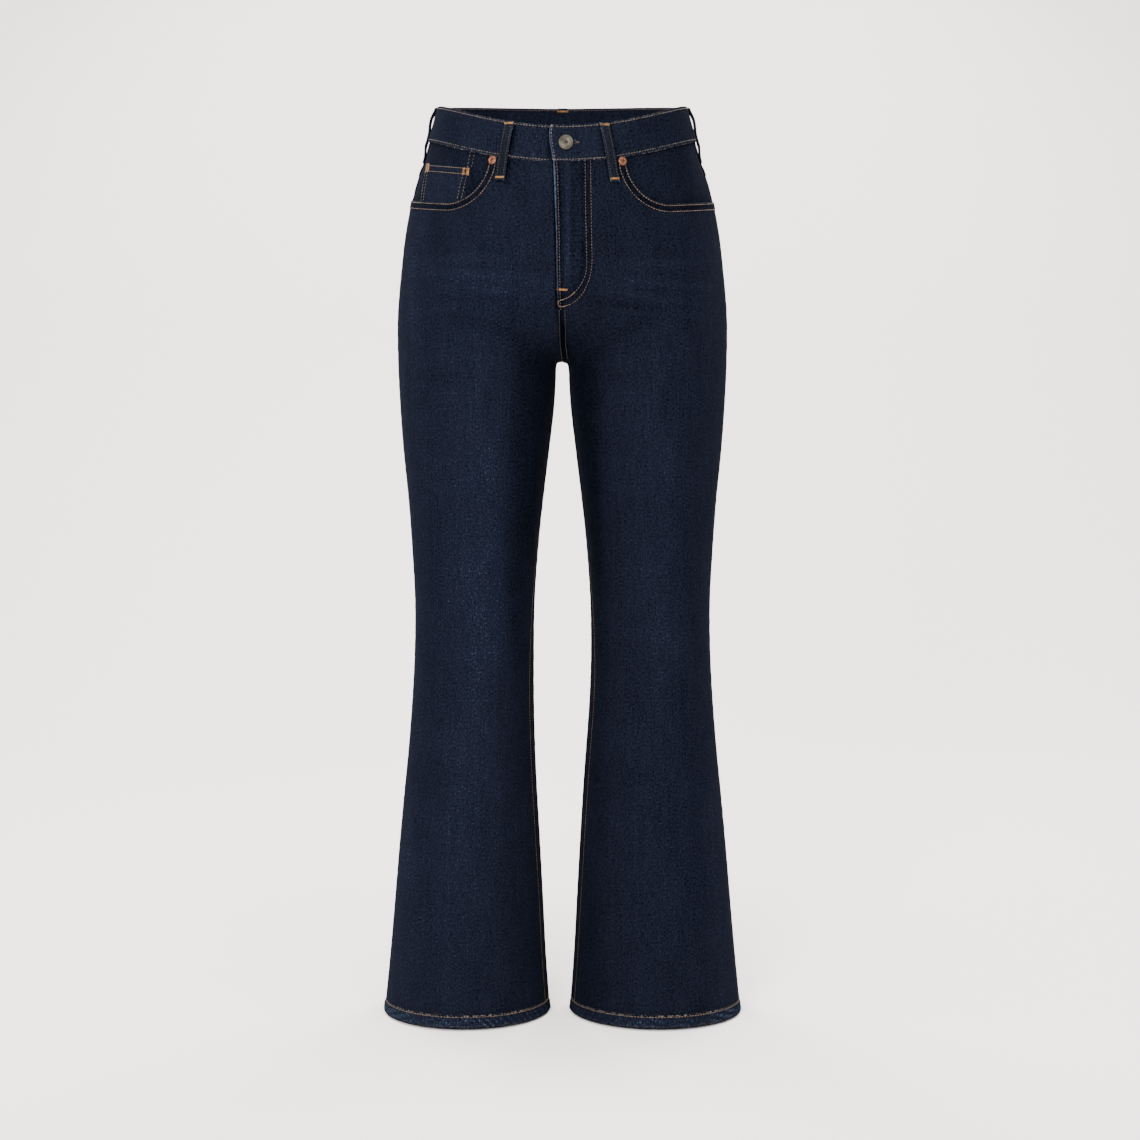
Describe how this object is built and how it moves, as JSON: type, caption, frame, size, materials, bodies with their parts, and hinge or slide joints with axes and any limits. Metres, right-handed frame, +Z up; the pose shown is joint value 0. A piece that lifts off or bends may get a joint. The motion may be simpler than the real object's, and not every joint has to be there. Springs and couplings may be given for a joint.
{
  "type": "flared jeans",
  "caption": "High-waisted flared denim jeans, filled out as worn and hollow, with the fly closed, the waist button fastened, scooped front pockets and patch back pockets.",
  "frame": {"origin": "centre of the waist, half-way down the waistband at the side seams, where the wearer holds the jeans up", "axes": "+X towards the wearer's left leg, -Y out of the front, +Z up"},
  "size_m": [0.426, 0.2477, 1.0724],
  "materials": {
    "denim": "dark indigo twill, matt",
    "denim_worn": "dark indigo twill, slightly worn, matt",
    "zip": "woven zip tape with a closed chain",
    "button": "antique silver",
    "rivets": "copper",
    "thread": "spun polyester topstitching thread, copper brown"
  },
  "bodies": {
    "root": {"back_left": "denim", "back_pocket_left": "denim_worn", "back_pocket_right": "denim_worn", "back_right": "denim", "belt_loop_back": "denim_worn", "belt_loop_front_left": "denim_worn", "belt_loop_front_right": "denim_worn", "belt_loop_side_left": "denim_worn", "belt_loop_side_right": "denim_worn", "coin_pocket": "denim_worn", "front_left": "denim", "front_right": "denim", "hem_left": "denim", "hem_right": "denim", "pocket_facing_left": "denim", "pocket_facing_right": "denim", "rivet_left": "rivets", "rivet_right": "rivets", "waist_button": "button", "waistband": "denim", "yoke_left": "denim", "yoke_right": "denim", "zip": "zip"}
  },
  "joints": []
}
